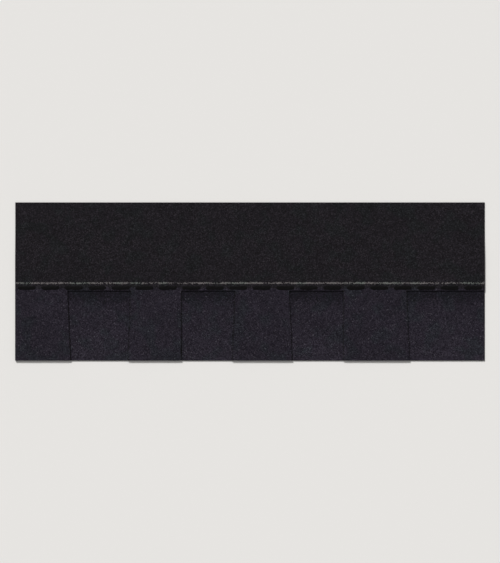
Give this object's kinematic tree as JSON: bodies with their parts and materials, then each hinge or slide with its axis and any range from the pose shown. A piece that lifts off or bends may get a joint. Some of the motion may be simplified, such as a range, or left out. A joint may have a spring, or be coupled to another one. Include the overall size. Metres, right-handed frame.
{
  "type": "laminated asphalt roof shingle",
  "caption": "Strip roof shingle of granule-surfaced asphalt, its upper sheet cut into flared teeth over a plain backing strip, with a broken sealant line and a release film.",
  "frame": {"origin": "middle of the shingle's length and height, on the floor that it lies on", "axes": "+X along the length, +Y from the butt edge towards the top edge, +Z out of the granule face"},
  "size_m": [1, 0.337, 0.0065],
  "materials": {
    "granule_surfaced_sheet": "matte",
    "granule_surfaced_shim": "matte",
    "laminating_adhesive": "satin",
    "sealant": "gloss",
    "release_film": "gloss"
  },
  "bodies": {
    "root": {"overlay_sheet": "granule_surfaced_sheet", "shim_sheet": "granule_surfaced_shim", "laminating_adhesive": "laminating_adhesive", "sealant_dashes": "sealant", "release_film": "release_film"}
  },
  "joints": []
}
